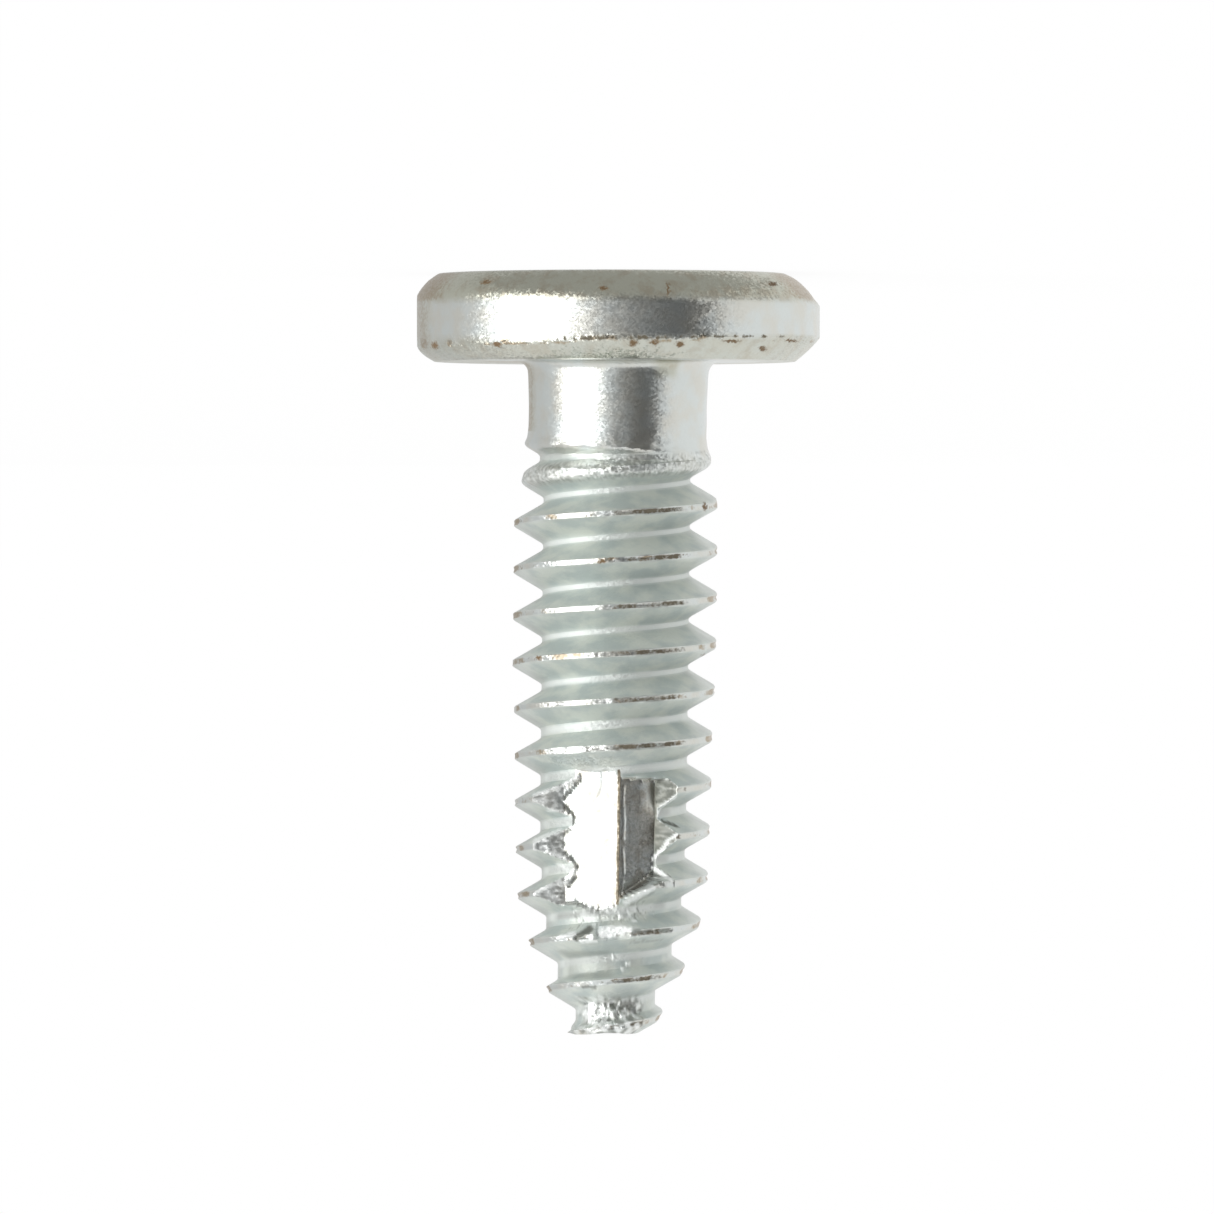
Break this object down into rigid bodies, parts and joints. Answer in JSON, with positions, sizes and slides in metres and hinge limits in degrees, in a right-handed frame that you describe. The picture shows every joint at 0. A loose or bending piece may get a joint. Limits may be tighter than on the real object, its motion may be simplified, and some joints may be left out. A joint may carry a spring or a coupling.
{
  "type": "thread-cutting machine screw",
  "caption": "Short steel screw with a low wide bevelled disc head, plain neck, coarse thread, a flute across the lower thread and a blunt tapered tip.",
  "frame": {"origin": "centre of the flat top of the head, on which the screw stands", "axes": "+Z along the head's axis from the top of the head towards the tip; -Y is the side with the flute"},
  "size_m": [0.0092, 0.0092, 0.0173],
  "materials": {
    "plated_steel": "satin"
  },
  "bodies": {
    "root": {"screw": "plated_steel"}
  },
  "joints": []
}
